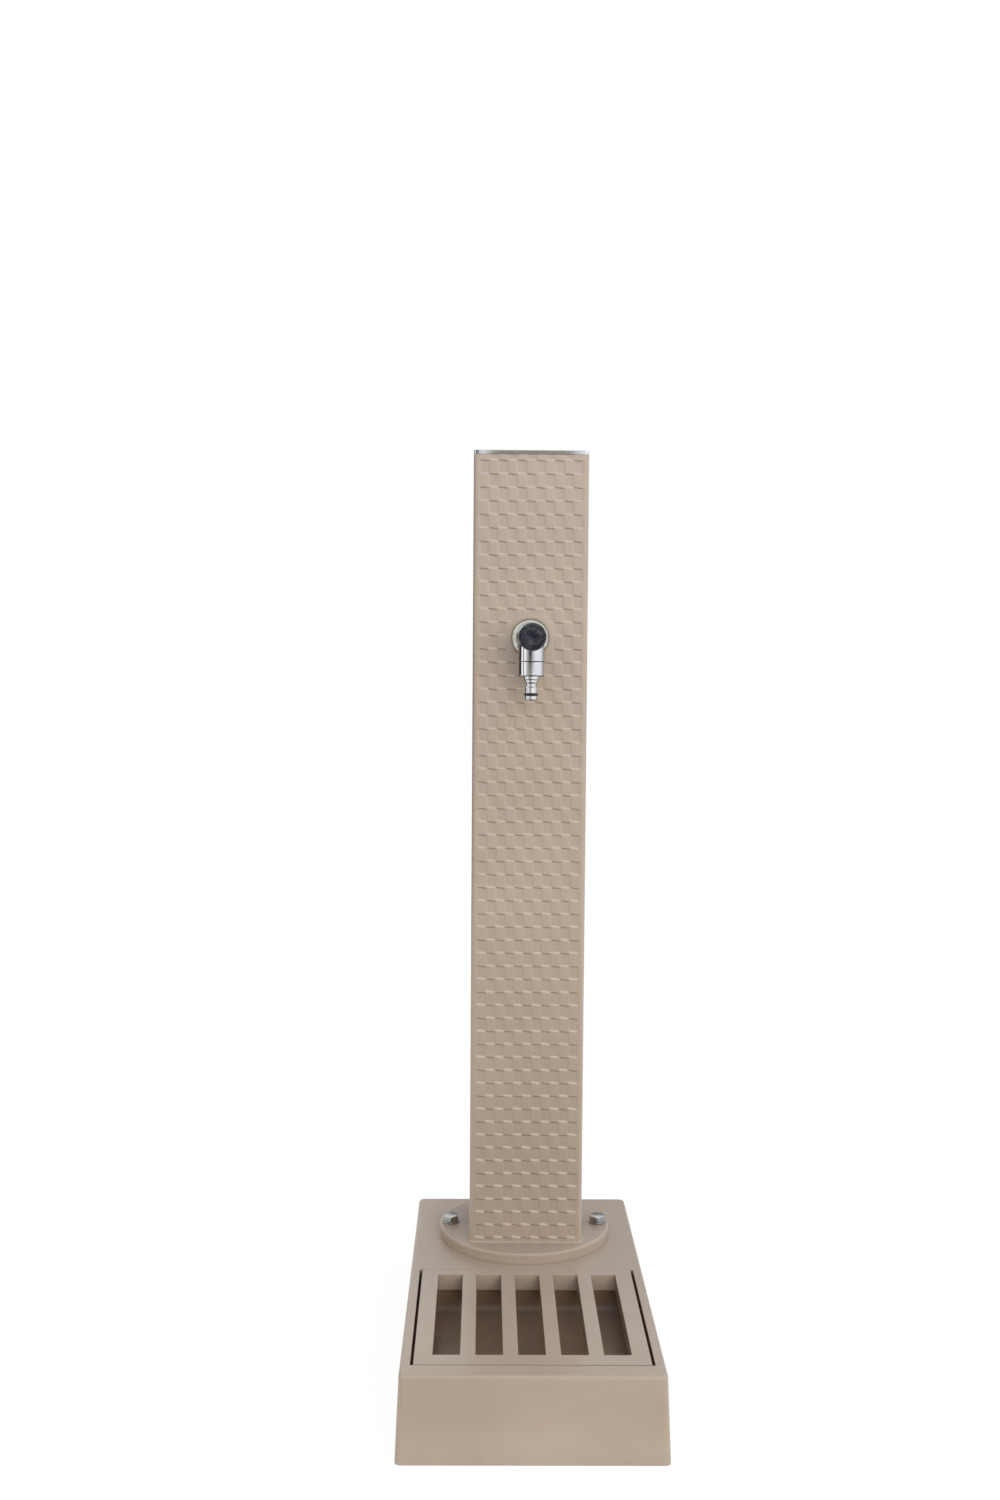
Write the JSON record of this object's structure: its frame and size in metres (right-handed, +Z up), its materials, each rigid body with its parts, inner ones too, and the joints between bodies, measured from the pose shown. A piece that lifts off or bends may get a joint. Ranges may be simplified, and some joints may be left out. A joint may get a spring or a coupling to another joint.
{
  "type": "garden tap post with basin",
  "caption": "Square garden water post with a woven relief and a quarter-turn tap, bolted by a round flange to a low base with a basin under a lift-out slotted grate.",
  "frame": {"origin": "middle of the base's outline, on the ground", "axes": "+Z up along the post, the tap and the basin face -Y, +X to the right seen from the front"},
  "size_m": [0.265, 0.49, 1],
  "materials": {
    "taupe_paint": "satin powder coat, warm taupe",
    "taupe_paint_inside": "satin powder coat, dulled by water and dirt",
    "chrome": "polished chrome plate",
    "zinc_steel": "zinc-plated steel",
    "brass": "turned brass",
    "black_plastic": "glossy black",
    "rubber": "black rubber",
    "ceramic": "ground white ceramic",
    "pipe_plastic": "white composite pipe"
  },
  "bodies": {
    "post_and_basin": {"base_shell": "taupe_paint", "basin_tray": "taupe_paint_inside", "drain_body": "zinc_steel", "drain_strainer": "zinc_steel", "drain_gasket": "rubber", "drain_nut": "zinc_steel", "flange_plate": "taupe_paint", "flange_bolts": "zinc_steel", "flange_washers": "zinc_steel", "flange_nuts": "zinc_steel", "post_tube": "taupe_paint", "post_cap": "chrome", "rosette": "chrome", "tap_body": "chrome", "seat_seal": "rubber", "cartridge_sleeve": "brass", "fixed_disc": "ceramic", "outlet_washer": "rubber", "hose_adaptor": "chrome", "nipple_o_ring": "rubber", "tap_elbow": "brass", "supply_pipe": "pipe_plastic", "lower_elbow": "brass", "inlet_pipe": "pipe_plastic", "inlet_connector": "brass", "inlet_locknut": "brass"},
    "tap_knob": {"knob": "black_plastic", "knob_screw": "zinc_steel", "knob_cap": "black_plastic", "spindle": "brass", "spindle_o_ring": "rubber", "moving_disc": "ceramic"},
    "grate": {"grate": "taupe_paint"}
  },
  "joints": [
    {"name": "knob_turn", "type": "hinge", "parent": "post_and_basin", "child": "tap_knob", "pos_m": [0, -0.01, 0.791], "axis": [0, -1, 0], "range_deg": [0, 90]},
    {"name": "grate_lift", "type": "slide", "parent": "post_and_basin", "child": "grate", "axis": [0, 0, 1], "range_m": [0, 0.15]}
  ]
}
